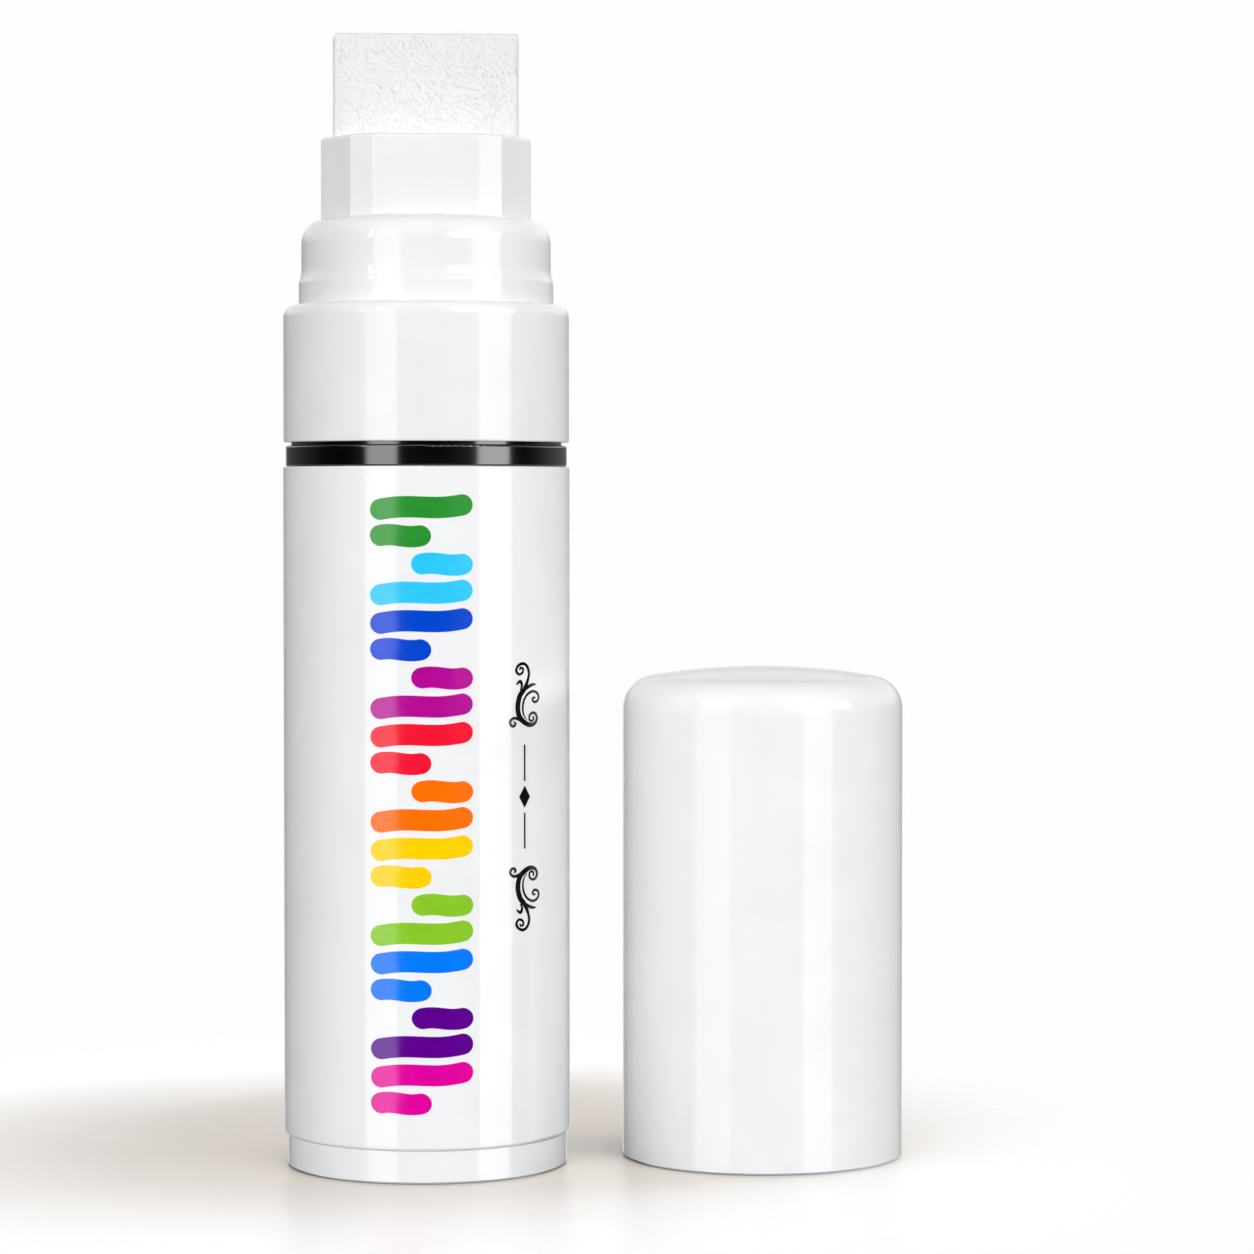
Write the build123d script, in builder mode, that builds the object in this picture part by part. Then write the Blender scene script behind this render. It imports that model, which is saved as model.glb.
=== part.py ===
from build123d import *
import os
from math import cos, pi, sin, sqrt

# Jumbo liquid chalk marker with a wide felt nib, standing uncapped beside its cap.
# Lengths are millimetres. The origin is the middle of the marker's foot, +Z is up,
# and the nib's wide face looks along -Y.

# Barrel
barrel_diameter = 30.0
barrel_wall = 1.5
barrel_length = 69.65
barrel_foot_round = 0.45
barrel_head_round = 0.15

# End plug
plug_step = 0.375
plug_height = 3.4
plug_rim_width = 4.625
plug_recess_depth = 0.8
plug_floor = 1.4
plug_spigot_length = 8.0
plug_spigot_wall = 2.0
plug_spigot_lead = 0.6
plug_seal_height = 4.0

# O-rings of the plug and the coupling
seal_section = 0.95
seal_gap = 0.06

# Coupling
coupling_flange_step = 0.3
coupling_flange_height = 2.2
coupling_flange_round = 0.25
coupling_land_step = 0.55
coupling_land_height = 0.32
coupling_neck_length = 10.7
coupling_wall = 1.53
coupling_spigot_length = 10.0
coupling_spigot_lead = 0.6
coupling_seal_depth = 5.0

# Nib holder
collar_step = 0.05
collar_wall = 1.9
collar_height = 14.3
collar_head_round = 1.3
collar_foot_round = 0.2
bead_step = 1.625
bead_height = 2.28
bead_taper = 0.8
bead_head_round = 0.8
shoulder_step = 0.275
shoulder_height = 8.95
shoulder_round = 2.62
shoulder_foot_round = 3.0
shoulder_wall = 1.85
neck_side_step = 2.2
neck_side_wall = 1.05
neck_front_wall = 5.7
neck_bevel_width = 2.37
neck_bevel_depth = 1.3
neck_facet_width = 3.1
neck_facet_depth = 4.5
neck_height = 8.22
neck_corner_round = 0.5
neck_head_round = 0.45
chamber_roof = 1.95

# Nib and the carrier below it
nib_thickness = 7.4
nib_length = 24.2
nib_proud = 10.85
nib_round = 0.35
nib_travel = 3.0
carrier_margin = 0.2
carrier_thickness = 1.5
carrier_boss_diameter = 8.4
carrier_boss_height = 1.5
carrier_hole_diameter = 1.8
carrier_hole_margin = 2.8
carrier_hole_row = 3.4
carrier_socket_depth = 2.2

# Valve
rod_diameter = 4.0
rod_head_diameter = 10.0
rod_head_thickness = 1.6
rod_tail_diameter = 4.4
rod_tail_length = 1.5
valve_seal_thickness = 1.0
housing_flange_thickness = 1.2
housing_hole_diameter = 6.8
housing_lip_diameter = 8.4
housing_lip_height = 0.6
housing_skirt_wall = 1.2
housing_skirt_length = 9.0
gasket_thickness = 0.8
spring_length = 9.6
spring_coil_diameter = 7.2
spring_wire = 0.7
spring_turns = 6
points_per_turn = 24
cage_wall = 1.2
cage_lap = 4.0
cage_floor = 1.4
cage_hole_diameter = 2.6
cage_hole_margin = 1.0
cage_hole_count = 6
cage_pin_diameter = 4.4
cage_pin_height = 2.3

# Mixing ball
ball_diameter = 8.0

# Cap, and where it stands
cap_stand_gap = 5.77
cap_y = 3.82
cap_step = 0.15
cap_height = 51.95
cap_round = 3.5
cap_crown_radius = 72.0
cap_top_thickness = 1.6
cap_rib_count = 8
cap_rib_thickness = 1.2
cap_rib_depth = 2.4
liner_wall = 0.9
liner_ceiling = 1.1
liner_lip = 0.4
liner_lift = 0.55
liner_tip_gap = 1.25

# Undercut round the feet of the plug and the cap
foot_inset = 0.7
foot_rise = 0.25

# Clearances, each on the radius or on one side
press_gap = 0.05
thread_gap = 0.1
nib_gap = 0.2
cap_mouth_gap = 0.05
cap_bore_gap = 0.12
cage_gap = 0.65
rest_gap = 0.05
cut_overrun = 1.0

# Heights along the marker
barrel_foot = plug_height
barrel_head = barrel_foot + barrel_length
flange_head = barrel_head + coupling_flange_height
holder_foot = flange_head + coupling_land_height
collar_head = holder_foot + collar_height
bead_head = collar_head + bead_height
shoulder_foot = bead_head + bead_taper
shoulder_head = collar_head + shoulder_height
neck_head = shoulder_head + neck_height
nib_head = neck_head + nib_proud
nib_foot = nib_head - nib_length
chamber_head = shoulder_head - chamber_roof
coupling_head = holder_foot + coupling_neck_length
housing_head = coupling_head + housing_flange_thickness
gasket_head = housing_head + gasket_thickness
skirt_foot = coupling_head - housing_skirt_length
seat_height = coupling_head - housing_lip_height
rod_head_top = seat_height - valve_seal_thickness
rod_head_foot = rod_head_top - rod_head_thickness
carrier_foot = nib_foot - carrier_thickness
boss_foot = carrier_foot - carrier_boss_height
rod_top = boss_foot + carrier_socket_depth
cage_floor_top = rod_head_foot - spring_length
cage_foot = cage_floor_top - cage_floor
plug_floor_top = plug_recess_depth + plug_floor

# Radii shared by pieces that fit each other
barrel_radius = barrel_diameter / 2
barrel_bore = barrel_radius - barrel_wall
plug_radius = barrel_radius - plug_step
flange_radius = barrel_radius - coupling_flange_step
land_radius = flange_radius - coupling_land_step
collar_radius = barrel_radius - collar_step
bead_radius = collar_radius - bead_step
shoulder_radius = bead_radius - shoulder_step
chamber_radius = shoulder_radius - shoulder_wall
spigot_radius = barrel_bore - press_gap
seal_circle = barrel_bore - seal_gap - seal_section / 2
seal_groove = seal_circle - seal_section / 2 - seal_gap
seal_groove_height = seal_section + 2 * seal_gap
thread_bore = collar_radius - collar_wall
thread_radius = thread_bore - thread_gap
coupling_bore = seal_groove - coupling_wall
cage_radius = coupling_bore - cage_gap
cage_socket = cage_radius - cage_wall
skirt_radius = cage_socket - press_gap
skirt_bore = skirt_radius - housing_skirt_wall
cage_hole_circle = skirt_bore - cage_hole_margin - cage_hole_diameter / 2
cap_radius = barrel_radius - cap_step
cap_mouth = bead_radius + cap_mouth_gap
cap_bore = shoulder_radius + cap_bore_gap
cap_wall = cap_radius - cap_bore
liner_radius = cap_bore - press_gap
liner_bore = liner_radius - liner_wall

# Widths of the neck, the nib in its slot and the carrier below
neck_width = 2 * (shoulder_radius - neck_side_step)
neck_depth = nib_thickness + 2 * (nib_gap + neck_front_wall)
neck_facet_foot = neck_width / 2 - neck_facet_width
neck_facet_head = neck_depth / 2 - neck_bevel_depth
nib_width = neck_width - 2 * (neck_side_wall + nib_gap)
carrier_width = nib_width - 2 * carrier_margin
carrier_depth = nib_thickness - 2 * carrier_margin
carrier_hole_pitch = carrier_width - 2 * carrier_hole_margin

# Place of the cap and heights in it, as it stands on its rim
cap_x = barrel_radius + cap_stand_gap + cap_radius
mouth_depth = bead_height + bead_taper
liner_foot = shoulder_height - liner_lift
liner_ceiling_foot = nib_head - collar_head + liner_tip_gap
liner_head = liner_ceiling_foot + liner_ceiling
cap_base = Plane(origin=(cap_x, cap_y, 0))
cap_section = Plane(origin=(cap_x, cap_y, 0), x_dir=(1, 0, 0), z_dir=(0, -1, 0))
cap_axis = Axis((cap_x, cap_y, 0), (0, 0, 1))

ring_corner = (Align.MIN, Align.MIN)
height_digits = 4


def ring(inner, outer, foot, head, mode=Mode.ADD):
    """Draws the section of a ring in the sketch at hand, between two radii and two heights."""
    with Locations((inner, foot)):
        Rectangle(outer - inner, head - foot, align=ring_corner, mode=mode)


def undercut(radius):
    """Takes the undercut of a foot off the section at hand, at the foot's outer edge."""
    Polygon(
        (radius - foot_inset, 0),
        (radius, 0),
        (radius, foot_rise),
        align=(Align.NONE, Align.NONE),
        mode=Mode.SUBTRACT,
    )


def circles_at(piece, height):
    """The round edges of a piece at one height, the widest last."""
    circles = piece.edges().filter_by(GeomType.CIRCLE)
    level = circles.filter_by(lambda edge: round(edge.center().Z - height, height_digits) == 0)
    return level.sort_by(SortBy.RADIUS)


def crown_drop(radius):
    """How far the cap's crown lies below its top at a radius."""
    return cap_crown_radius - sqrt(cap_crown_radius**2 - radius**2)


# Barrel: a straight tube with softened ends
with BuildPart() as barrel:
    with BuildSketch(Plane.XZ):
        ring(barrel_bore, barrel_radius, barrel_foot, barrel_head)
    revolve(axis=Axis.Z)
    fillet(circles_at(barrel, barrel_foot)[-1], barrel_foot_round)
    fillet(circles_at(barrel, barrel_head)[-1], barrel_head_round)

# End plug: a foot with a shallow recess below and a hollow spigot with a seal groove
with BuildPart() as end_plug:
    with BuildSketch(Plane.XZ):
        ring(0, plug_radius, 0, plug_height)
        ring(0, spigot_radius, plug_height, plug_height + plug_spigot_length)
        ring(
            0,
            spigot_radius - plug_spigot_wall,
            plug_floor_top,
            plug_height + plug_spigot_length,
            mode=Mode.SUBTRACT,
        )
        ring(0, plug_radius - plug_rim_width, 0, plug_recess_depth, mode=Mode.SUBTRACT)
        undercut(plug_radius)
        ring(
            seal_groove,
            spigot_radius,
            barrel_foot + plug_seal_height - seal_groove_height / 2,
            barrel_foot + plug_seal_height + seal_groove_height / 2,
            mode=Mode.SUBTRACT,
        )
    revolve(axis=Axis.Z)
    chamfer(circles_at(end_plug, plug_height + plug_spigot_length)[-1], plug_spigot_lead)

# O-ring of the end plug
with BuildPart() as plug_seal:
    with BuildSketch(Plane.XZ):
        with Locations((seal_circle, barrel_foot + plug_seal_height)):
            Circle(seal_section / 2)
    revolve(axis=Axis.Z)

# Coupling: spigot in the barrel, flange that shows as the dark ring, land and threaded neck
with BuildPart() as coupling:
    with BuildSketch(Plane.XZ):
        ring(coupling_bore, spigot_radius, barrel_head - coupling_spigot_length, barrel_head)
        ring(coupling_bore, flange_radius, barrel_head, flange_head)
        ring(coupling_bore, land_radius, flange_head, holder_foot)
        ring(coupling_bore, thread_radius, holder_foot, coupling_head)
        ring(
            seal_groove,
            spigot_radius,
            barrel_head - coupling_seal_depth - seal_groove_height / 2,
            barrel_head - coupling_seal_depth + seal_groove_height / 2,
            mode=Mode.SUBTRACT,
        )
    revolve(axis=Axis.Z)
    fillet(circles_at(coupling, barrel_head)[-1], coupling_flange_round)
    fillet(circles_at(coupling, flange_head)[-1], coupling_flange_round)
    chamfer(circles_at(coupling, barrel_head - coupling_spigot_length)[-1], coupling_spigot_lead)

# O-ring of the coupling
with BuildPart() as coupling_seal:
    with BuildSketch(Plane.XZ):
        with Locations((seal_circle, barrel_head - coupling_seal_depth)):
            Circle(seal_section / 2)
    revolve(axis=Axis.Z)

# Nib holder: collar, bead and shoulder are turned, and the neck is a twelve-sided prism
with BuildPart() as nib_holder:
    with BuildSketch(Plane.XZ) as holder_outline:
        ring(0, collar_radius, holder_foot, collar_head)
        ring(0, shoulder_radius, collar_head, shoulder_head)
        with BuildLine():
            Polyline(
                (0, collar_head),
                (bead_radius, collar_head),
                (bead_radius, bead_head),
                (shoulder_radius, shoulder_foot),
                (0, shoulder_foot),
                close=True,
            )
        make_face()
        flare_head = holder_outline.vertices().sort_by_distance((shoulder_radius, shoulder_foot))[0]
        fillet(flare_head, shoulder_foot_round)
        flare_foot = holder_outline.vertices().sort_by_distance((bead_radius, bead_head))[0]
        fillet(flare_foot, bead_head_round)
    revolve(axis=Axis.Z)
    fillet(circles_at(nib_holder, shoulder_head)[-1], shoulder_round)
    fillet(circles_at(nib_holder, collar_head)[-1], collar_head_round)
    fillet(circles_at(nib_holder, holder_foot)[-1], collar_foot_round)
    with BuildSketch(Plane.XY.offset(chamber_head)) as neck_outline:
        Rectangle(neck_width, neck_depth)
        for side in (-1, 1):
            for end in (-1, 1):
                with BuildLine():
                    Polyline(
                        (side * neck_width / 2, end * neck_depth / 2),
                        (side * (neck_facet_foot - neck_bevel_width), end * neck_depth / 2),
                        (side * neck_facet_foot, end * neck_facet_head),
                        (side * neck_width / 2, end * (neck_facet_head - neck_facet_depth)),
                        close=True,
                    )
                make_face(mode=Mode.SUBTRACT)
        fillet(neck_outline.vertices(), neck_corner_round)
    extrude(amount=neck_head - chamber_head)
    fillet(nib_holder.faces().sort_by(Axis.Z)[-1].edges(), neck_head_round)
    with BuildSketch(Plane.XY.offset(chamber_head - cut_overrun)):
        Rectangle(nib_width + 2 * nib_gap, nib_thickness + 2 * nib_gap)
    extrude(amount=neck_head - chamber_head + 2 * cut_overrun, mode=Mode.SUBTRACT)
    with BuildSketch(Plane.XZ):
        ring(0, thread_bore, holder_foot - cut_overrun, gasket_head)
        ring(0, chamber_radius, holder_foot, chamber_head)
    revolve(axis=Axis.Z, mode=Mode.SUBTRACT)

# Nib: a felt block with softened edges
with BuildPart() as nib:
    with BuildSketch(Plane.XY.offset(nib_foot)):
        Rectangle(nib_width, nib_thickness)
    extrude(amount=nib_length)
    fillet(nib.edges().filter_by(Axis.Z), nib_round)
    fillet(nib.faces().sort_by(Axis.Z)[-1].edges(), nib_round)

# Nib carrier: a perforated plate with a socket for the rod
with BuildPart() as nib_carrier:
    with BuildSketch(Plane.XY.offset(carrier_foot)):
        Rectangle(carrier_width, carrier_depth)
        with GridLocations(carrier_hole_pitch, carrier_hole_row, 2, 2):
            Circle(carrier_hole_diameter / 2, mode=Mode.SUBTRACT)
    extrude(amount=carrier_thickness)
    with BuildSketch(Plane.XY.offset(boss_foot)):
        Circle(carrier_boss_diameter / 2)
    extrude(amount=carrier_boss_height)
    with BuildSketch(Plane.XY.offset(boss_foot)):
        Circle(rod_diameter / 2 + press_gap)
    extrude(amount=carrier_socket_depth, mode=Mode.SUBTRACT)

# Valve rod: shaft, valve head and the tail that centres the spring
with BuildPart() as valve_rod:
    with BuildSketch(Plane.XZ):
        ring(0, rod_diameter / 2, rod_head_top, rod_top)
        ring(0, rod_head_diameter / 2, rod_head_foot, rod_head_top)
        ring(0, rod_tail_diameter / 2, rod_head_foot - rod_tail_length, rod_head_foot)
    revolve(axis=Axis.Z)

# Rubber washer on the valve head
with BuildPart() as valve_seal:
    with BuildSketch(Plane.XZ):
        ring(rod_diameter / 2 + press_gap, rod_head_diameter / 2, rod_head_top, seat_height)
    revolve(axis=Axis.Z)

# Valve housing: clamped flange, seat lip and skirt
with BuildPart() as valve_housing:
    with BuildSketch(Plane.XZ):
        ring(housing_hole_diameter / 2, thread_radius, coupling_head, housing_head)
        ring(housing_hole_diameter / 2, housing_lip_diameter / 2, seat_height, coupling_head)
        ring(skirt_bore, skirt_radius, skirt_foot, coupling_head)
    revolve(axis=Axis.Z)

# Flat gasket between the housing's flange and the holder
with BuildPart() as valve_gasket:
    with BuildSketch(Plane.XZ):
        ring(chamber_radius, thread_radius, housing_head, gasket_head)
    revolve(axis=Axis.Z)

# Spring cage: a socket pressed on the skirt, a perforated floor and a centring pin
with BuildPart() as spring_cage:
    with BuildSketch(Plane.XZ):
        ring(skirt_bore, skirt_radius, cage_foot, skirt_foot)
        ring(0, skirt_radius, cage_foot, cage_floor_top)
        ring(skirt_bore, cage_radius, skirt_foot - cage_wall, skirt_foot)
        ring(cage_socket, cage_radius, skirt_foot, skirt_foot + cage_lap)
        ring(0, cage_pin_diameter / 2, cage_floor_top, cage_floor_top + cage_pin_height)
    revolve(axis=Axis.Z)
    with BuildSketch(Plane.XY.offset(cage_foot)):
        with PolarLocations(cage_hole_circle, cage_hole_count):
            Circle(cage_hole_diameter / 2)
    extrude(amount=cage_floor, mode=Mode.SUBTRACT)

# Valve spring: one wire whose turns are pairs of tangent arcs, two pairs to a turn
spring_radius = spring_coil_diameter / 2
spring_foot = cage_floor_top + spring_wire / 2 + rest_gap
spring_rise = spring_length - spring_wire - 2 * rest_gap
spring_pitch = spring_rise / spring_turns


def spring_point(turn):
    """The wire's centre after a number of turns from the foot."""
    angle = 2 * pi * turn
    return Vector(spring_radius * cos(angle), spring_radius * sin(angle), spring_foot + spring_pitch * turn)


def spring_direction(turn):
    """The wire's direction after a number of turns from the foot."""
    angle = 2 * pi * turn
    reach = 2 * pi * spring_radius
    return Vector(-reach * sin(angle), reach * cos(angle), spring_pitch).normalized()


def biarc_middle(start, start_direction, finish, finish_direction):
    """The point where two arcs with equal tangent lengths meet between two points."""
    chord = finish - start
    directions = start_direction + finish_direction
    along = chord.dot(directions)
    spread = 4 - directions.dot(directions)
    reach = (sqrt(along**2 + spread * chord.dot(chord)) - along) / spread
    return (start + start_direction * reach + finish - finish_direction * reach) / 2


with BuildPart() as valve_spring:
    with BuildLine() as coil:
        for half in range(2 * spring_turns):
            start = spring_point(half / 2)
            finish = spring_point((half + 1) / 2)
            start_direction = spring_direction(half / 2)
            finish_direction = spring_direction((half + 1) / 2)
            middle = biarc_middle(start, start_direction, finish, finish_direction)
            TangentArc(start, middle, tangent=start_direction)
            TangentArc(middle, finish, tangent=-finish_direction, tangent_from_first=False)
    with BuildSketch(Plane(origin=coil.line @ 0, z_dir=coil.line % 0)):
        Circle(spring_wire / 2)
    sweep(path=coil.line)

# Mixing ball, resting on the plug's floor
with BuildPart() as mixing_ball:
    with Locations((0, 0, plug_floor_top + rest_gap + ball_diameter / 2)):
        Sphere(ball_diameter / 2)

# Cap shell: crowned top, stepped bore and ribs that stop the liner
cap_side_head = cap_height - crown_drop(cap_radius)
bore_side_head = cap_height - cap_top_thickness - crown_drop(cap_bore)
with BuildPart() as cap_shell:
    with BuildSketch(cap_section) as cap_outline:
        with BuildLine():
            Polyline((0, cap_height), (0, 0), (cap_radius, 0), (cap_radius, cap_side_head))
            ThreePointArc(
                (cap_radius, cap_side_head),
                (cap_radius / 2, cap_height - crown_drop(cap_radius / 2)),
                (0, cap_height),
            )
        make_face()
        fillet(cap_outline.vertices().sort_by(Axis.Y)[-2], cap_round)
        undercut(cap_radius)
    revolve(axis=cap_axis)
    with BuildSketch(cap_section) as bore_outline:
        with BuildLine():
            Polyline(
                (0, cap_height - cap_top_thickness),
                (0, -cut_overrun),
                (cap_mouth, -cut_overrun),
                (cap_mouth, mouth_depth),
                (cap_bore, mouth_depth),
                (cap_bore, bore_side_head),
            )
            ThreePointArc(
                (cap_bore, bore_side_head),
                (cap_bore / 2, cap_height - cap_top_thickness - crown_drop(cap_bore / 2)),
                (0, cap_height - cap_top_thickness),
            )
        make_face()
        fillet(bore_outline.vertices().sort_by(Axis.Y)[-2], cap_round - cap_wall)
    revolve(axis=cap_axis, mode=Mode.SUBTRACT)
    with BuildSketch(cap_base.offset(liner_head)):
        with PolarLocations(cap_bore - cap_rib_depth / 2, cap_rib_count):
            Rectangle(cap_rib_depth + cap_wall / 2, cap_rib_thickness)
    extrude(amount=bore_side_head - cap_round - liner_head)

# Cap liner: a cup with a chamfered lip that closes on the shoulder
with BuildPart() as cap_liner:
    with BuildSketch(cap_section):
        ring(0, liner_radius, liner_foot, liner_head)
        ring(0, liner_bore, liner_foot, liner_ceiling_foot, mode=Mode.SUBTRACT)
    revolve(axis=cap_axis)
    chamfer(circles_at(cap_liner, liner_foot)[0], liner_lip)

pieces = {
    "barrel": barrel,
    "end_plug": end_plug,
    "plug_seal": plug_seal,
    "coupling": coupling,
    "coupling_seal": coupling_seal,
    "nib_holder": nib_holder,
    "nib": nib,
    "nib_carrier": nib_carrier,
    "valve_rod": valve_rod,
    "valve_seal": valve_seal,
    "valve_housing": valve_housing,
    "valve_gasket": valve_gasket,
    "spring_cage": spring_cage,
    "valve_spring": valve_spring,
    "mixing_ball": mixing_ball,
    "cap_shell": cap_shell,
    "cap_liner": cap_liner,
}

os.makedirs("parts", exist_ok=True)
for name, piece in pieces.items():
    piece.part.label = name
    export_step(piece.part, f"parts/{name}.step")

# The spring's least gap to itself, measured on points at least half a turn apart
wire = coil.wire()
point_count = spring_turns * points_per_turn
wire_points = [wire @ (index / point_count) for index in range(point_count + 1)]
least_distance = min(
    (later - earlier).length
    for index, earlier in enumerate(wire_points)
    for later in wire_points[index + points_per_turn // 2 :]
)
print("spring's least gap to itself:", round(least_distance - spring_wire, 3))
print("room left under the pressed nib:", round(boss_foot - nib_travel - housing_head, 3))
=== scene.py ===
"""Looks of a jumbo liquid chalk marker and its cap: felt, print, plastics and a pale studio."""
import math
import random

import bpy
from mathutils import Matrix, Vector, noise


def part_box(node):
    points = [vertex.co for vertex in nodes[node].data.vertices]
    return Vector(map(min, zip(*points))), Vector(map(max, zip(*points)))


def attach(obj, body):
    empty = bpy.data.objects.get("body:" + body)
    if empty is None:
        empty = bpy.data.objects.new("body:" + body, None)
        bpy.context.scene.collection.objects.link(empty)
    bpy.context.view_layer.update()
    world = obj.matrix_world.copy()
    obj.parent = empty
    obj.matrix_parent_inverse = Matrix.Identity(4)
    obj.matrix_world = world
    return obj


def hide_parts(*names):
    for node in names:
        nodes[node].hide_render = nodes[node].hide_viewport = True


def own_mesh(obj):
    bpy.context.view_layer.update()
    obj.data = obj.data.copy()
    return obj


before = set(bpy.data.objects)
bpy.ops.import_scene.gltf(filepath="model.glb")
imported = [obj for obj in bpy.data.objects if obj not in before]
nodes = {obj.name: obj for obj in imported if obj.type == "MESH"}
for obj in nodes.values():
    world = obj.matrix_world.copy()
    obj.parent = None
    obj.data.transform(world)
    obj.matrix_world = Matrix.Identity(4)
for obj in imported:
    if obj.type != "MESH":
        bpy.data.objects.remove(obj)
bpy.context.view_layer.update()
scene = bpy.context.scene
mm = 0.001

# Sizes read from the frame
barrel_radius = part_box("barrel")[1].x
nib_low, nib_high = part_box("nib")
neck_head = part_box("nib_holder")[1].z
spring_low, spring_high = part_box("valve_spring")


# Helpers for meshes
def add_piece(name, vertices, faces, body, material, slot=None, crease=None):
    """A mesh piece that rides on a body, smooth but for edges that turn by more than a crease angle."""
    mesh = bpy.data.meshes.new(name)
    mesh.from_pydata(vertices, [], faces)
    mesh.polygons.foreach_set("use_smooth", [True] * len(mesh.polygons))
    if crease:
        mesh.set_sharp_from_angle(angle=math.radians(crease))
    mesh.materials.append(material)
    mesh.update()
    piece = bpy.data.objects.new(name, mesh)
    scene.collection.objects.link(piece)
    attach(piece, body)
    return piece


def join_rings(faces, first, rings, sides):
    """Faces of a tube with closed ends, whose rings of vertices follow each other from a first vertex."""
    for ring in range(rings - 1):
        low = first + ring * sides
        high = low + sides
        for side in range(sides):
            after = (side + 1) % sides
            faces.append((low + side, low + after, high + after, high + side))
    last_ring = first + (rings - 1) * sides
    faces.append([first + side for side in reversed(range(sides))])
    faces.append([last_ring + side for side in range(sides)])


# Helpers for materials
def new_material(name):
    """A material with a Principled shader, its node tree and the shader."""
    material = bpy.data.materials.new(name)
    material.use_nodes = True
    tree = material.node_tree
    return material, tree, tree.nodes["Principled BSDF"]


def add_node(tree, kind, **inputs):
    """A node with some of its inputs set, or linked where an output socket is given."""
    node = tree.nodes.new(kind)
    for key, value in inputs.items():
        socket = node.inputs[key.replace("_", " ")]
        if isinstance(value, bpy.types.NodeSocket):
            tree.links.new(value, socket)
        else:
            socket.default_value = value
    return node


def object_point(tree):
    """The surface point in the piece's own metres."""
    return add_node(tree, "ShaderNodeTexCoord").outputs["Object"]


def generated_parts(tree):
    """X, Y and Z of the place on a panel, from 0 to 1, or of the direction in the world's tree."""
    texture_point = add_node(tree, "ShaderNodeTexCoord")
    return add_node(tree, "ShaderNodeSeparateXYZ", Vector=texture_point.outputs["Generated"]).outputs


def noise_at(tree, point, size_mm, detail, stretch):
    """Noise from 0 to 1 at a point, with features about as large as the size given."""
    if stretch:
        point = add_node(tree, "ShaderNodeMapping", Vector=point, Scale=stretch).outputs["Vector"]
    texture = add_node(tree, "ShaderNodeTexNoise", Vector=point, Scale=1 / (size_mm * mm), Detail=detail)
    return texture.outputs["Fac"]


def noise_value(tree, size_mm, detail=2.0, stretch=None):
    """Noise from 0 to 1 at the surface point."""
    return noise_at(tree, object_point(tree), size_mm, detail, stretch)


def span(tree, value, low, high):
    """A value from 0.25 to 0.75 stretched to a new span."""
    node = add_node(
        tree, "ShaderNodeMapRange", Value=value, From_Min=0.25, From_Max=0.75, To_Min=low, To_Max=high
    )
    return node.outputs["Result"]


def ramp_value(tree, value, from_span, to_span):
    """A value that goes smoothly over one span while another goes over the other."""
    node = add_node(tree, "ShaderNodeMapRange", Value=value)
    node.interpolation_type = "SMOOTHSTEP"
    node.inputs["From Min"].default_value, node.inputs["From Max"].default_value = from_span
    node.inputs["To Min"].default_value, node.inputs["To Max"].default_value = to_span
    return node.outputs["Result"]


def combine(tree, operation, first, second=None):
    """One or two values put through a sum, a product or another operation."""
    node = add_node(tree, "ShaderNodeMath")
    node.operation = operation
    tree.links.new(first, node.inputs[0])
    if second is not None:
        tree.links.new(second, node.inputs[1])
    return node.outputs["Value"]


def blend_colours(tree, value, first, second):
    """A colour between two, by a value that goes from 0.3 to 0.7."""
    ramp = add_node(tree, "ShaderNodeValToRGB", Fac=value)
    ramp.color_ramp.elements[0].position = 0.3
    ramp.color_ramp.elements[0].color = (*first, 1)
    ramp.color_ramp.elements[1].position = 0.7
    ramp.color_ramp.elements[1].color = (*second, 1)
    return ramp.outputs["Color"]


def mix_shaders(tree, share, first, second):
    """The first shader where the share is 0, and the second where it is 1."""
    mix = add_node(tree, "ShaderNodeMixShader", Fac=share)
    tree.links.new(first.outputs[0], mix.inputs[1])
    tree.links.new(second.outputs[0], mix.inputs[2])
    return mix


def dress(tree, shader, colour, roughness):
    """Link a shader's colour and roughness."""
    tree.links.new(colour, shader.inputs["Base Color"])
    tree.links.new(roughness, shader.inputs["Roughness"])


def add_bump(tree, shader, height, depth_mm, strength):
    """Relief of the surface from a height between 0 and 1."""
    bump = add_node(tree, "ShaderNodeBump", Height=height, Distance=depth_mm * mm, Strength=strength)
    tree.links.new(bump.outputs["Normal"], shader.inputs["Normal"])


# Kinds of material
def moulded_plastic(name, tones, gloss, grain_mm=1.6, grain_strength=0.02, index=1.5, shine=0.5):
    """Moulded plastic: faint clouding in its colour, uneven gloss and a fine skin."""
    material, tree, shader = new_material(name)
    colour = blend_colours(tree, noise_value(tree, size_mm=6.0, detail=3.0), *tones)
    dress(tree, shader, colour, span(tree, noise_value(tree, size_mm=2.5, detail=4.0), *gloss))
    shader.inputs["IOR"].default_value = index
    shader.inputs["Specular IOR Level"].default_value = shine
    skin = noise_value(tree, grain_mm, detail=1.0)
    add_bump(tree, shader, skin, depth_mm=0.01, strength=grain_strength)
    return material


def fibre_noise(tree, size_mm, slant, sway, stretch):
    """Noise drawn out along fibres that slant across the X-Z plane by an angle and sway about it."""
    swaying = noise_value(tree, size_mm=3.0, detail=1.0)
    angle = span(tree, swaying, math.radians(slant - sway), math.radians(slant + sway))
    turn = add_node(tree, "ShaderNodeVectorRotate", Vector=object_point(tree))
    turn.rotation_type = "Y_AXIS"
    tree.links.new(angle, turn.inputs["Angle"])
    return noise_at(tree, turn.outputs["Vector"], size_mm, detail=3.0, stretch=(stretch, 1, 1))


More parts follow.
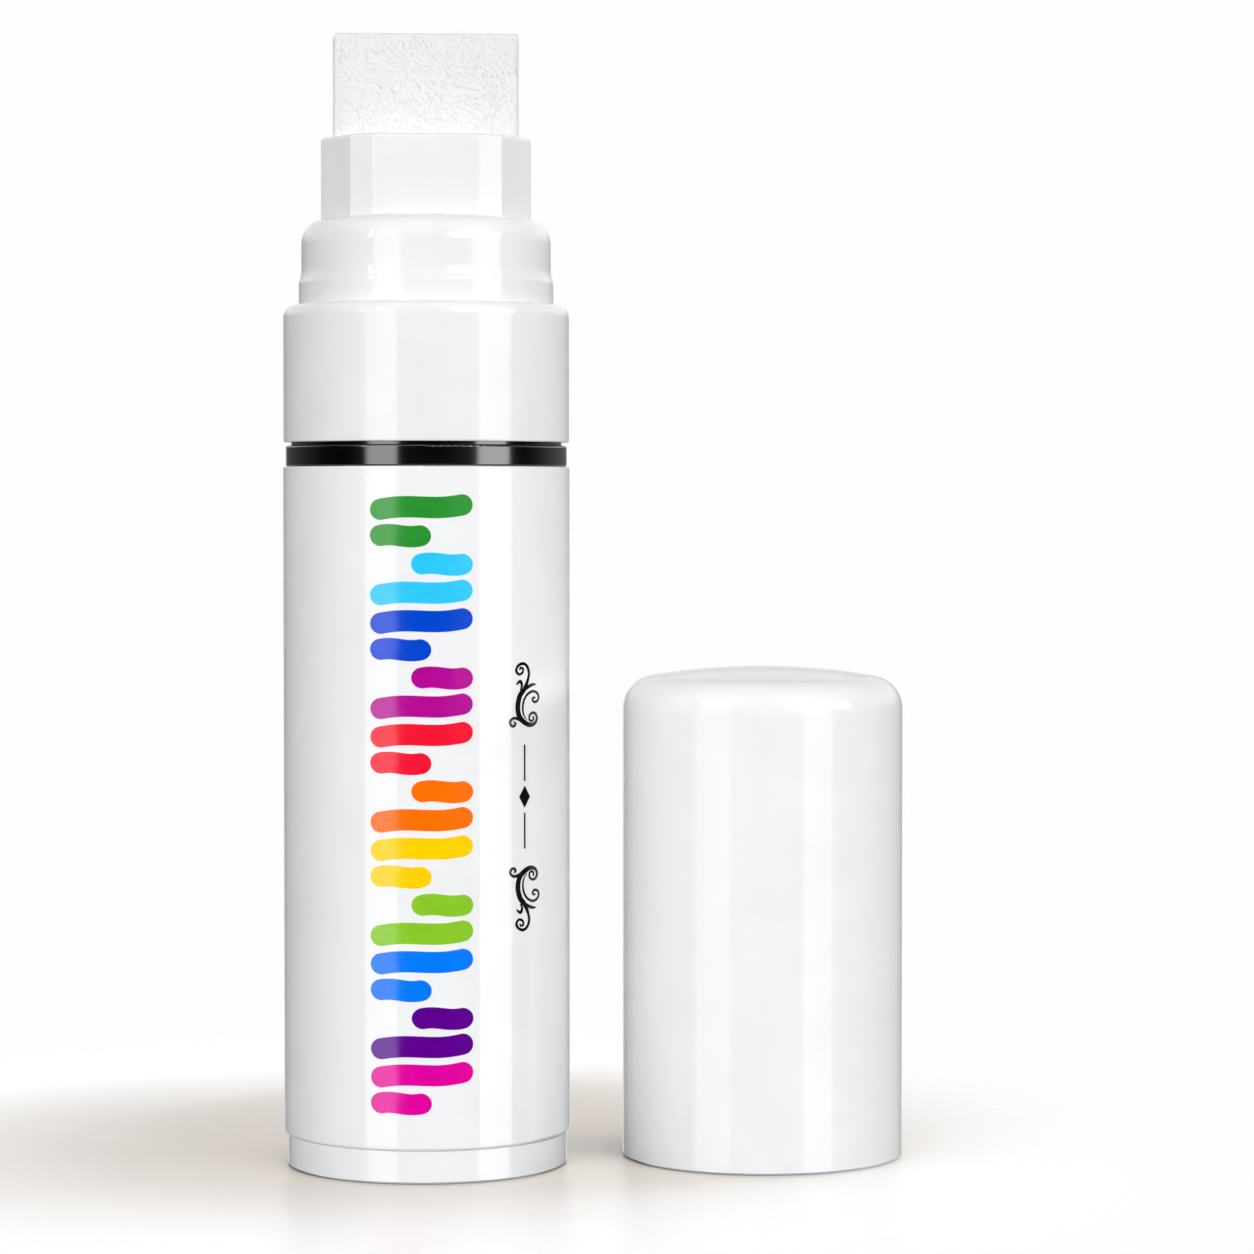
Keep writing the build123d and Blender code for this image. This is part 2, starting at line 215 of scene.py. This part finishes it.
def felt_cloth(name):
    """Pressed white fibre: matt, with fine slanting fibres, darker pores and a soft nap."""
    material, tree, shader = new_material(name)
    fibres = fibre_noise(tree, size_mm=0.16, slant=54, sway=22, stretch=0.2)
    colour = blend_colours(tree, fibres, (0.72, 0.72, 0.728), (0.82, 0.82, 0.826))
    dress(tree, shader, colour, span(tree, noise_value(tree, size_mm=0.5), 0.85, 1.0))
    shader.inputs["Specular IOR Level"].default_value = 0.15
    shader.inputs["Sheen Weight"].default_value = 0.15
    add_bump(tree, shader, fibres, depth_mm=0.04, strength=0.5)
    return material


def print_ink(name, colour):
    """Printed ink: a thin glossy film with a faint mottle."""
    material, tree, shader = new_material(name)
    darker = [channel * 0.93 for channel in colour]
    tint = blend_colours(tree, noise_value(tree, size_mm=1.2, detail=4.0), darker, colour)
    dress(tree, shader, tint, span(tree, noise_value(tree, size_mm=0.8, detail=3.0), 0.12, 0.2))
    add_bump(tree, shader, noise_value(tree, size_mm=0.3), depth_mm=0.004, strength=0.1)
    return material


def drawn_metal(name, tones, gloss, stretch=None):
    """Drawn or polished steel with fine lines."""
    material, tree, shader = new_material(name)
    lines = noise_value(tree, size_mm=0.3, detail=3.0, stretch=stretch)
    dress(tree, shader, blend_colours(tree, lines, *tones), span(tree, lines, *gloss))
    shader.inputs["Metallic"].default_value = 1.0
    add_bump(tree, shader, lines, depth_mm=0.003, strength=0.2)
    return material


def soft_rubber(name, tones, gloss):
    """Dull dark rubber with a fine powdery skin."""
    material, tree, shader = new_material(name)
    colour = blend_colours(tree, noise_value(tree, size_mm=0.6, detail=4.0), *tones)
    dress(tree, shader, colour, span(tree, noise_value(tree, size_mm=0.4), *gloss))
    add_bump(tree, shader, noise_value(tree, size_mm=0.15), depth_mm=0.01, strength=0.3)
    return material


# Materials of the CAD nodes, each with two tones and the span of its roughness
white_tones = ((0.80, 0.804, 0.816), (0.83, 0.834, 0.846))
# The holder and cap are the barrel's white plastic in darker tones: painted shade, so that they do not look
# brighter than the barrel under these lamps
holder_shaded_tones = ((0.77, 0.774, 0.786), (0.80, 0.804, 0.816))
cap_shaded_tones = ((0.785, 0.789, 0.80), (0.815, 0.819, 0.83))
black_tones = ((0.0012, 0.0012, 0.0013), (0.0024, 0.0024, 0.0026))
plain_tones = ((0.68, 0.69, 0.69), (0.76, 0.765, 0.76))
rubber_tones = ((0.012, 0.012, 0.013), (0.03, 0.03, 0.032))
wire_tones = ((0.42, 0.42, 0.43), (0.58, 0.58, 0.59))
ball_tones = ((0.55, 0.55, 0.56), (0.66, 0.66, 0.67))
white_gloss = (0.035, 0.055)
cap_gloss = (0.04, 0.06)
black_gloss = (0.11, 0.15)
plain_gloss = (0.3, 0.42)
rubber_gloss = (0.55, 0.75)
wire_gloss = (0.2, 0.34)
ball_gloss = (0.08, 0.16)
white = moulded_plastic("glossy_white_plastic", white_tones, white_gloss)
holder_shaded_white = moulded_plastic("holder_white_plastic", holder_shaded_tones, white_gloss, shine=0.45)
cap_shaded_white = moulded_plastic("cap_white_plastic", cap_shaded_tones, cap_gloss, shine=0.3)
black = moulded_plastic(
    "black_plastic", black_tones, black_gloss, grain_mm=1.2, grain_strength=0.03, index=1.65, shine=1.0
)
plain = moulded_plastic("plain_plastic", plain_tones, plain_gloss, grain_mm=0.5, grain_strength=0.15)
rubber = soft_rubber("rubber", rubber_tones, rubber_gloss)
felt = felt_cloth("felt")
wire_steel = drawn_metal("spring_steel", wire_tones, wire_gloss, stretch=(1, 1, 0.1))
ball_steel = drawn_metal("ball_steel", ball_tones, ball_gloss)

worn_by = {
    white: ("barrel", "end_plug"),
    holder_shaded_white: ("nib_holder",),
    cap_shaded_white: ("cap_shell",),
    black: ("coupling",),
    plain: ("nib_carrier", "valve_rod", "valve_housing", "spring_cage", "cap_liner"),
    rubber: ("plug_seal", "coupling_seal", "valve_seal", "valve_gasket"),
    wire_steel: ("valve_spring",),
    ball_steel: ("mixing_ball",),
}
for material, names in worn_by.items():
    for name in names:
        for material_slot in nodes[name].material_slots:
            material_slot.material = material


# Felt nib: a rounded block with an uneven skin, covered with fine fibres
felt_round = 0.45 * mm
felt_grid = 0.3 * mm
felt_deep_grid = 1.6 * mm
felt_shown_foot = neck_head - 1.5 * mm
felt_middle = (nib_low + nib_high) / 2
felt_half = (nib_high - nib_low) / 2

# The skin's waves, with heights and sink in mm
broad_size = 1.6 * mm
broad_height = 0.03
fine_size = 0.45 * mm
fine_height = 0.02
fine_shift = Vector((7.3, 1.9, 4.1))
felt_sink = 0.04

# The fibres: number in a square mm, length and lift in mm, slant, drift and scatter in degrees
fibre_seed = 41
fibre_density = 15
fibre_radius = 0.036 * mm
fibre_tip = 0.35
fibre_steps = 3
fibre_sides = 3
fibre_lengths = (0.4, 1.1)
fibre_lift = 0.04
fibre_slant = -54
fibre_drift = 55
fibre_scatter = 14
fibre_bend = 0.3
drift_size = 3.2 * mm
drift_shift = Vector((3.1, 8.2, 5.5))


def felt_height(point):
    """How far the felt's skin stands from the smooth block at a point."""
    broad = noise.noise(point / broad_size)
    fine = noise.noise(point / fine_size + fine_shift)
    return (broad_height * broad + fine_height * fine - felt_sink) * mm


def felt_skin(place, lift=0.0):
    """A point on the rounded block's skin next to a place, raised by a lift, and its normal."""
    local = place - felt_middle
    core = Vector(
        max(felt_round - half, min(half - felt_round, value)) for value, half in zip(local, felt_half)
    )
    normal = (local - core).normalized()
    skin = core + normal * felt_round + felt_middle
    return skin + normal * (felt_height(skin) + lift), normal


def grid_lines(low, high, step):
    """Evenly spaced values from low to high."""
    count = max(1, round((high - low) / step))
    return [low + (high - low) * index / count for index in range(count + 1)]


def felt_block():
    """Vertices and faces of the nib's body, with a coarse grid where the holder hides it."""
    lines = [
        grid_lines(nib_low.x, nib_high.x, felt_grid),
        grid_lines(nib_low.y, nib_high.y, felt_grid),
        grid_lines(nib_low.z, felt_shown_foot, felt_deep_grid)[:-1]
        + grid_lines(felt_shown_foot, nib_high.z, felt_grid),
    ]
    vertices = []
    faces = []
    found = {}

    def vertex(index):
        """The number of the vertex at a crossing of the grid, which is made when it is first asked for."""
        if index not in found:
            found[index] = len(vertices)
            place = Vector(lines[axis][index[axis]] for axis in range(3))
            vertices.append(felt_skin(place)[0])
        return found[index]

    for axis in range(3):
        across, along = (axis + 1) % 3, (axis + 2) % 3
        for end in (0, len(lines[axis]) - 1):
            for i in range(len(lines[across]) - 1):
                for j in range(len(lines[along]) - 1):
                    corners = []
                    for di, dj in ((0, 0), (1, 0), (1, 1), (0, 1)):
                        index = [0, 0, 0]
                        index[axis] = end
                        index[across] = i + di
                        index[along] = j + dj
                        corners.append(vertex(tuple(index)))
                    faces.append(corners if end else corners[::-1])
    return vertices, faces


def add_fibre(vertices, faces, points, normals):
    """A thin tapered tube through some points."""
    first = len(vertices)
    last = len(points) - 1
    for step, (point, normal) in enumerate(zip(points, normals)):
        ahead = points[min(step + 1, last)] - points[max(step - 1, 0)]
        side = ahead.cross(normal).normalized()
        radius = fibre_radius * (fibre_tip if step in (0, last) else 1)
        for turn in range(fibre_sides):
            angle = 2 * math.pi * turn / fibre_sides
            vertices.append(point + (normal * math.cos(angle) + side * math.sin(angle)) * radius)
    join_rings(faces, first, len(points), fibre_sides)


def felt_fibres(vertices, faces):
    """Short fibres that lie on the shown faces of the nib, in drifts of one direction."""
    draw = random.Random(fibre_seed)
    low = Vector((nib_low.x, nib_low.y, felt_shown_foot))
    for axis, end in ((1, 0), (1, 1), (0, 0), (0, 1), (2, 1)):
        across, along = {0: (1, 2), 1: (0, 2), 2: (0, 1)}[axis]
        area = (nib_high[across] - low[across]) * (nib_high[along] - low[along]) / mm**2
        for _ in range(round(area * fibre_density)):
            place = Vector((0, 0, 0))
            place[axis] = nib_high[axis] if end else nib_low[axis]
            place[across] = draw.uniform(low[across], nib_high[across])
            place[along] = draw.uniform(low[along], nib_high[along])
            drift = noise.noise(place / drift_size + drift_shift)
            angle = math.radians(fibre_slant + fibre_drift * drift + draw.gauss(0, fibre_scatter))
            bend = draw.gauss(0, fibre_bend)
            length = draw.uniform(*fibre_lengths) * mm
            lift = draw.uniform(0.0, fibre_lift) * mm
            points = []
            normals = []
            for step in range(fibre_steps):
                share = step / (fibre_steps - 1)
                arch = math.sin(math.pi * share)
                point, normal = felt_skin(place, lift * arch - fibre_radius * (1 - arch))
                points.append(point)
                normals.append(normal)
                place = place.copy()
                place[across] += math.cos(angle) * length / (fibre_steps - 1)
                place[along] += math.sin(angle) * length / (fibre_steps - 1)
                place[along] = max(place[along], low[along])
                angle += bend
            add_fibre(vertices, faces, points, normals)


nib_vertices, nib_faces = felt_block()
felt_fibres(nib_vertices, nib_faces)
felt_nib = add_piece("felt_nib", nib_vertices, nib_faces, "nib", felt, "felt")
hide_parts("nib")


# Valve spring: a wound wire in place of the plain spring part, riding on the marker
spring_wire = 0.7 * mm
spring_coil = (spring_high.x - spring_low.x - spring_wire) / 2
spring_turns = 6
spring_steps = 40
spring_sides = 10


def coil_tube():
    """Vertices and faces of the spring's wire."""
    vertices = []
    faces = []
    count = spring_turns * spring_steps
    foot = spring_low.z + spring_wire / 2
    rise = spring_high.z - spring_low.z - spring_wire
    for step in range(count + 1):
        angle = 2 * math.pi * step / spring_steps
        outward = Vector((math.cos(angle), math.sin(angle), 0))
        centre = outward * spring_coil + Vector((0, 0, foot + rise * step / count))
        for side in range(spring_sides):
            swing = 2 * math.pi * side / spring_sides
            offset = outward * math.cos(swing) - Vector((0, 0, math.sin(swing)))
            vertices.append(centre + offset * spring_wire / 2)
    join_rings(faces, 0, count + 1, spring_sides)
    return vertices, faces


coil_spring = add_piece("coil_spring", *coil_tube(), "marker", wire_steel, "steel_wire")
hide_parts("valve_spring")
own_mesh(coil_spring)


# Print on the barrel
print_lift = 0.02 * mm
print_sink = 0.08 * mm
print_crease = 40
band_corners = ((1, print_lift), (-1, print_lift), (-1, -print_sink), (1, -print_sink))
bar_round_steps = 6
bar_straight_steps = 24
bar_least_half = 0.02


def wrap(across, height, radius):
    """A point on the barrel at a distance round from the front and a height."""
    angle = across / barrel_radius
    return Vector((radius * math.sin(angle), -radius * math.cos(angle), height))


def spline(a, b, c, d, share):
    """The value at a share of the way from b to c on a smooth curve through four values."""
    slope = c - a
    curve = 2 * a - 5 * b + 4 * c - d
    twist = 3 * b - a - 3 * c + d
    return 0.5 * (2 * b + slope * share + curve * share**2 + twist * share**3)


def smooth_line(points, steps=8):
    """A smooth line through some points, as more points."""
    line = []
    padded = [points[0], *points, points[-1]]
    for four in zip(padded, padded[1:], padded[2:], padded[3:]):
        for step in range(steps):
            line.append(tuple(spline(*values, step / steps) for values in zip(*four)))
    line.append(points[-1])
    return line


def add_stroke(vertices, faces, line):
    """A thin raised band on the barrel along points given as (across, height, half width), in mm."""
    first = len(vertices)
    last = len(line) - 1
    for step, (across, height, half) in enumerate(line):
        ahead = line[min(step + 1, last)]
        behind = line[max(step - 1, 0)]
        run = math.hypot(ahead[0] - behind[0], ahead[1] - behind[1])
        left = (-(ahead[1] - behind[1]) / run * half, (ahead[0] - behind[0]) / run * half)
        for side, proud in band_corners:
            corner_across = (across + side * left[0]) * mm
            corner_height = (height + side * left[1]) * mm
            vertices.append(wrap(corner_across, corner_height, barrel_radius + proud))
    join_rings(faces, first, len(line), len(band_corners))


def rounded_bar(start, end, half, wave):
    """The line of a bar with round ends between two points, with a slight double bend."""
    length = math.hypot(end[0] - start[0], end[1] - start[1])
    quarter = [math.pi / 2 * step / bar_round_steps for step in range(bar_round_steps + 1)]
    round_end = [half * (1 - math.cos(angle)) for angle in quarter]
    shares = [step / bar_straight_steps for step in range(1, bar_straight_steps)]
    straight = [half + (length - 2 * half) * share for share in shares]
    other_end = [length - distance for distance in reversed(round_end)]
    line = []
    for distance in round_end + straight + other_end:
        share = distance / length
        across = start[0] + (end[0] - start[0]) * share
        height = start[1] + (end[1] - start[1]) * share + wave * math.sin(2 * math.pi * share)
        inset = min(distance, length - distance, half)
        width = math.sqrt(max(half**2 - (half - inset) ** 2, bar_least_half**2))
        line.append((across, height, width))
    return line


# Colour strokes, two to a colour, with sizes in mm
stroke_colours = {
    "green": (0.023, 0.275, 0.027),
    "sky": (0.026, 0.552, 1.0),
    "royal": (0.0, 0.058, 0.604),
    "magenta": (0.445, 0.002, 0.287),
    "red": (0.871, 0.007, 0.032),
    "orange": (1.0, 0.156, 0.0),
    "yellow": (1.0, 0.610, 0.0),
    "lime": (0.242, 0.552, 0.021),
    "azure": (0.0, 0.188, 1.0),
    "violet": (0.107, 0.0, 0.262),
    "pink": (0.730, 0.0, 0.328),
}
strokes_foot = 7.0
strokes_head = 70.4
strokes_left = -5.85
strokes_right = 4.7
stroke_half = 1.08
stroke_rise = 0.9
stroke_short = 4.3
stroke_wave = 0.22
stroke_pitch = (strokes_head - strokes_foot) / len(stroke_colours)
for index, (colour_name, colour) in enumerate(stroke_colours.items()):
    cell_head = strokes_head - index * stroke_pitch
    vertices = []
    faces = []
    for row in (0, 1):
        height = cell_head - stroke_half - row * stroke_pitch / 2 - stroke_rise / 2
        left, right = strokes_left, strokes_right
        if row == 1 and index % 2 == 0:
            right -= stroke_short
        if row == 0 and index % 2 == 1:
            left += stroke_short
        tilt = stroke_rise * (right - left) / (strokes_right - strokes_left) / 2
        bar = rounded_bar((left, height - tilt), (right, height + tilt), stroke_half, stroke_wave)
        add_stroke(vertices, faces, bar)
    ink = print_ink(f"ink_{colour_name}", colour)
    add_piece(f"print_{colour_name}", vertices, faces, "marker", ink, crease=print_crease)

# Scroll ornaments beside the strokes, with points as (across, height, half width) in mm
scroll_across = 10.9
scrolls = {"scroll_upper": (49.65, 1), "scroll_lower": (28.85, -1)}
scroll_lines = (
    (
        (1.18, -2.19, 0.10), (1.30, -2.49, 0.12), (0.94, -2.69, 0.12), (0.66, -2.45, 0.12),
        (0.76, -2.02, 0.13), (1.24, -1.84, 0.14), (1.66, -2.02, 0.15), (1.82, -2.45, 0.16),
        (1.50, -2.92, 0.18), (0.74, -3.07, 0.24), (-0.18, -2.68, 0.28), (-0.75, -2.07, 0.30),
        (-0.93, -1.14, 0.31), (-0.66, -0.08, 0.30), (0.0, 0.66, 0.26), (0.47, 1.57, 0.17),
        (0.62, 2.27, 0.16), (0.34, 2.95, 0.16), (-0.26, 3.24, 0.16), (-0.93, 2.98, 0.15),
        (-1.12, 2.52, 0.15), (-0.80, 2.16, 0.14), (-0.30, 2.30, 0.13), (-0.22, 2.72, 0.12),
        (-0.56, 2.80, 0.11), (-0.66, 2.58, 0.10),
    ),
    (
        (0.34, -2.54, 0.03), (-0.10, -2.07, 0.08), (-0.26, -1.37, 0.11), (-0.12, -0.61, 0.12),
        (0.36, 0.04, 0.13), (1.14, 0.36, 0.14), (1.79, 0.20, 0.14), (2.09, -0.20, 0.14),
        (1.93, -0.61, 0.14), (1.46, -0.75, 0.14), (1.14, -0.52, 0.13), (1.30, -0.28, 0.12),
        (1.58, -0.36, 0.10),
    ),
    ((-0.02, 0.50, 0.10), (0.58, 0.86, 0.17), (1.14, 1.04, 0.16), (1.71, 1.06, 0.03)),
    ((-0.58, 0.52, 0.08), (-0.36, 1.04, 0.15), (-0.62, 1.42, 0.18), (-1.12, 1.12, 0.08)),
    (
        (-0.22, -2.70, 0.16), (-0.87, -2.43, 0.15), (-1.43, -2.31, 0.15), (-1.88, -2.60, 0.15),
        (-1.80, -3.02, 0.15), (-1.43, -3.12, 0.14), (-1.22, -2.88, 0.12), (-1.42, -2.68, 0.10),
    ),
)
black_ink = print_ink("ink_black", (0.003, 0.003, 0.003))
for name, (middle, flip) in scrolls.items():
    vertices = []
    faces = []
    for points in scroll_lines:
        placed = [(scroll_across + across, middle + flip * height, half) for across, height, half in points]
        add_stroke(vertices, faces, smooth_line(placed))
    add_piece(name, vertices, faces, "marker", black_ink, crease=print_crease)

# A plain rule between the scrolls, with a lozenge in its gap, in mm
rule_half = 0.1
rule_head = 44.6
rule_foot = 33.9
rule_gap = 1.6
rule_middle = (rule_head + rule_foot) / 2
lozenge_half = 0.75
lozenge_rise = 1.1
lozenge_tip = 0.03
rule_vertices = []
rule_faces = []
for low, high in ((rule_foot, rule_middle - rule_gap), (rule_middle + rule_gap, rule_head)):
    bar = rounded_bar((scroll_across, low), (scroll_across, high), rule_half, 0)
    add_stroke(rule_vertices, rule_faces, bar)
lozenge = [
    (scroll_across, rule_middle - lozenge_rise, lozenge_tip),
    (scroll_across, rule_middle, lozenge_half),
    (scroll_across, rule_middle + lozenge_rise, lozenge_tip),
]
add_stroke(rule_vertices, rule_faces, lozenge)
add_piece("scroll_rule", rule_vertices, rule_faces, "marker", black_ink, crease=print_crease)


# Studio: camera, floor, world and glowing panels, with lengths in metres and angles in degrees
camera_sensor = 36
camera_lens = 115.24
camera_place = (0, -0.42114, 0.06934)
camera_dip = 1.7773
camera_turn = -2.8562
object_middle = Vector((0.015, 0, 0.06))
white_light = (1, 1, 1, 1)
no_light = (0, 0, 0, 1)

# The floor: a glow in place of its lighting, with painted shadow where it is less open towards a leaning
# direction, and a faint glow in place of the light it throws back
floor_radius = 0.4
floor_middle = (-0.012, 0.012, 0)
floor_tones = ((0.42, 0.407, 0.397), (0.432, 0.421, 0.41))
floor_roughness = 0.3
floor_shine = 0.3
floor_shadow_lean = {"X": 0.5, "Y": -0.45, "Z": 0.75}
floor_reach = 0.06
floor_dark = 0.3
floor_light = 0.96
# Warm grey colours of the painted shadow in the floor's glow, by how open the place is
floor_painted_shadow_colours = {0.5: (0.57, 0.48, 0.40, 1), 0.84: (0.40, 0.335, 0.28, 1)}
floor_painted_glow = 0.6
floor_fade = (0.04, 0.11)
thrown_openness = (0.55, 0.95)
thrown_strength = 0.12
off_floor = bpy.data.collections.new("off_floor")

# The world: what the camera sees behind the object, and the faint light from above the floor
seen_white = (0.99, 0.99, 0.975, 1)
around_strength = 0.07


def add_camera():
    """The camera at the photograph's angle."""
    data = bpy.data.cameras.new("photo_camera")
    data.sensor_width = camera_sensor
    data.lens = camera_lens
    data.clip_start = 0.01
    camera = bpy.data.objects.new("photo_camera", data)
    camera.location = camera_place
    camera.rotation_euler = (math.radians(90 - camera_dip), 0, math.radians(camera_turn))
    scene.collection.objects.link(camera)
    scene.camera = camera


def add_floor():
    """A pale glowing floor with painted shadow near the object, a faint glow in place of the light it
    throws up, and a rim that fades out.
    """
    bpy.ops.mesh.primitive_circle_add(
        vertices=96, radius=floor_radius, fill_type="NGON", location=floor_middle
    )
    floor = bpy.context.object
    floor.name = "floor"
    floor.visible_glossy = False
    material, tree, shader = new_material("pale_floor")
    shader.inputs["Roughness"].default_value = floor_roughness
    shader.inputs["Specular IOR Level"].default_value = floor_shine
    tint = blend_colours(tree, noise_value(tree, size_mm=40), *floor_tones)
    tree.links.new(tint, shader.inputs["Base Color"])
    # Painted shadow: the floor's glow darkens where the object hides it from a leaning direction
    leaning = add_node(tree, "ShaderNodeCombineXYZ", **floor_shadow_lean).outputs["Vector"]
    cover = add_node(tree, "ShaderNodeAmbientOcclusion", Distance=floor_reach, Normal=leaning)
    openness = cover.outputs["AO"]
    glow = add_node(tree, "ShaderNodeValToRGB", Fac=openness)
    glow.color_ramp.interpolation = "B_SPLINE"
    glow.color_ramp.elements[0].position = floor_dark
    glow.color_ramp.elements[1].position = floor_light
    for position, colour in floor_painted_shadow_colours.items():
        glow.color_ramp.elements.new(position).color = colour
    tree.links.new(glow.outputs["Color"], shader.inputs["Emission Color"])
    shader.inputs["Emission Strength"].default_value = floor_painted_glow
    distance = add_node(tree, "ShaderNodeVectorMath")
    distance.operation = "LENGTH"
    tree.links.new(object_point(tree), distance.inputs[0])
    fade = ramp_value(tree, distance.outputs["Value"], floor_fade, (1, 0))
    tree.links.new(fade, shader.inputs["Alpha"])
    # Painted bounce light: to diffuse rays the floor is a faint glow, stronger where it is open
    strength = ramp_value(tree, openness, thrown_openness, (0, thrown_strength))
    thrown = add_node(tree, "ShaderNodeEmission", Strength=strength)
    diffuse_ray = add_node(tree, "ShaderNodeLightPath").outputs["Is Diffuse Ray"]
    bounce = mix_shaders(tree, diffuse_ray, shader, thrown)
    tree.links.new(bounce.outputs[0], tree.nodes["Material Output"].inputs["Surface"])
    floor.data.materials.append(material)
    off_floor.objects.link(floor)
    off_floor.collection_objects[0].light_linking.link_state = "EXCLUDE"


def add_world():
    """White where the camera looks past the object, dim in its reflections, grey where it lights it."""
    world = bpy.data.worlds.new("studio")
    scene.world = world
    world.use_nodes = True
    tree = world.node_tree
    tree.nodes.clear()
    direction = generated_parts(tree)
    behind = ramp_value(tree, direction["Y"], (-0.1, 0.8), (0, 1))
    raised = ramp_value(tree, direction["Z"], (0.03, 0.25), (0, 1.0))
    straight = ramp_value(tree, combine(tree, "ABSOLUTE", direction["X"]), (0.1, 0.35), (0.7, 0))
    sideways = ramp_value(tree, direction["X"], (-1, 1), (0.12, 0.24))
    overhead = ramp_value(tree, direction["Z"], (0.45, 0.8), (0, 1.3))
    above = ramp_value(tree, direction["Z"], (-0.05, 0.05), (0, around_strength))
    bright = combine(tree, "MAXIMUM", raised, straight)
    backdrop = combine(tree, "MULTIPLY", behind, combine(tree, "ADD", bright, sideways))
    backdrop = combine(tree, "MAXIMUM", backdrop, overhead)
    reflected = add_node(tree, "ShaderNodeBackground", Color=white_light, Strength=backdrop)
    around = add_node(tree, "ShaderNodeBackground", Color=white_light, Strength=above)
    seen = add_node(tree, "ShaderNodeBackground", Color=seen_white, Strength=1)
    ray = add_node(tree, "ShaderNodeLightPath").outputs
    lighting = mix_shaders(tree, ray["Is Glossy Ray"], around, reflected)
    mix = mix_shaders(tree, ray["Is Camera Ray"], lighting, seen)
    add_node(tree, "ShaderNodeOutputWorld", Surface=mix.outputs[0])


def soft_edge(tree, value, soft):
    """A share that rises from 0 to 1 and falls again over the soft rim of a panel."""
    ramp = add_node(tree, "ShaderNodeValToRGB", Fac=value)
    ramp.color_ramp.interpolation = "EASE"
    ramp.color_ramp.elements[0].color = no_light
    ramp.color_ramp.elements[1].color = no_light
    for position in (soft, 1 - soft):
        ramp.color_ramp.elements.new(position).color = white_light
    return ramp.outputs["Color"]


def around_object(azimuth, elevation, distance):
    """A place at a distance from the object. Azimuth is to the right of the camera's side."""
    a = math.radians(azimuth)
    e = math.radians(elevation)
    outward = Vector((math.sin(a) * math.cos(e), -math.cos(a) * math.cos(e), math.sin(e)))
    return object_middle + outward * distance


def add_panel(name, place, facing, size, strength, shown, on_floor=True, soft=None):
    """A glowing panel that faces a point, and either lights the object or shows in its gloss."""
    bpy.ops.mesh.primitive_plane_add(size=1)
    panel = bpy.context.object
    panel.name = name
    panel.scale = (*size, 1)
    panel.location = place
    panel.rotation_mode = "QUATERNION"
    panel.rotation_quaternion = (Vector(place) - Vector(facing)).to_track_quat("Z", "Y")
    panel.visible_camera = False
    panel.visible_glossy = shown == "gloss"
    panel.visible_diffuse = shown == "light"
    panel.visible_shadow = False
    if not on_floor:
        panel.light_linking.receiver_collection = off_floor
    material = bpy.data.materials.new(name)
    material.use_nodes = True
    tree = material.node_tree
    tree.nodes.clear()
    glow = add_node(tree, "ShaderNodeEmission", Strength=strength)
    if soft:
        spot = generated_parts(tree)
        across = soft_edge(tree, spot["X"], soft[0])
        along = soft_edge(tree, spot["Y"], soft[1])
        tree.links.new(combine(tree, "MULTIPLY", across, along), glow.inputs["Color"])
    add_node(tree, "ShaderNodeOutputMaterial", Surface=glow.outputs[0])
    panel.data.materials.append(material)


# Panels that light the object: azimuth, elevation, size, strength, and whether they light the floor
lamp_distance = 2.0
low_lamp = (0.85, 0.3)
wide_lamp = (1.1, 0.9)
lamps = {
    "left_back_lamp": (-95, 6, low_lamp, 2.4, True),
    "left_far_lamp": (-70, 6, low_lamp, 8.2, True),
    "left_lamp": (-50, 6, low_lamp, 7.6, True),
    "left_front_lamp": (-30, 6, low_lamp, 22.8, True),
    "right_front_lamp": (30, 6, low_lamp, 22.8, True),
    "right_lamp": (70, 6, low_lamp, 3.6, True),
    "right_far_lamp": (95, 6, low_lamp, 15.0, True),
    "right_high_lamp": (50, 40, wide_lamp, 3.0, True),
    "overhead_lamp": (20, 80, wide_lamp, 1.5, True),
    "back_lamp": (180, 6, low_lamp, 34.0, False),
}

# Panels that show in the gloss: place, point that they face, size, strength, and soft shares of the rim
box_distance = 0.8
right_box = around_object(47, 23, box_distance)
left_box = around_object(-42, 23, box_distance)
gloss_panels = {
    "right_strip": ((0.085, -0.072, 0.06), (-0.0138, -0.0871, 0.06), (0.075, 0.3), 3.0, (0.04, 0.02)),
    "left_strip": ((-0.0734, -0.135, 0.06), (0.024, -0.1577, 0.06), (0.175, 0.3), 2.3, (0.05, 0.02)),
    "right_top_box": (right_box, object_middle, (0.8, 0.36), 6.5, (0.08, 0.08)),
    "left_top_box": (left_box, object_middle, (0.4, 0.36), 7.5, (0.08, 0.08)),
}

add_camera()
add_floor()
add_world()
for name, (azimuth, elevation, size, strength, on_floor) in lamps.items():
    place = around_object(azimuth, elevation, lamp_distance)
    add_panel(name, place, object_middle, size, strength, "light", on_floor)
for name, (place, facing, size, strength, soft) in gloss_panels.items():
    add_panel(name, place, facing, size, strength, "gloss", on_floor=False, soft=soft)
scene.view_settings.view_transform = "Standard"
scene.view_settings.look = "None"
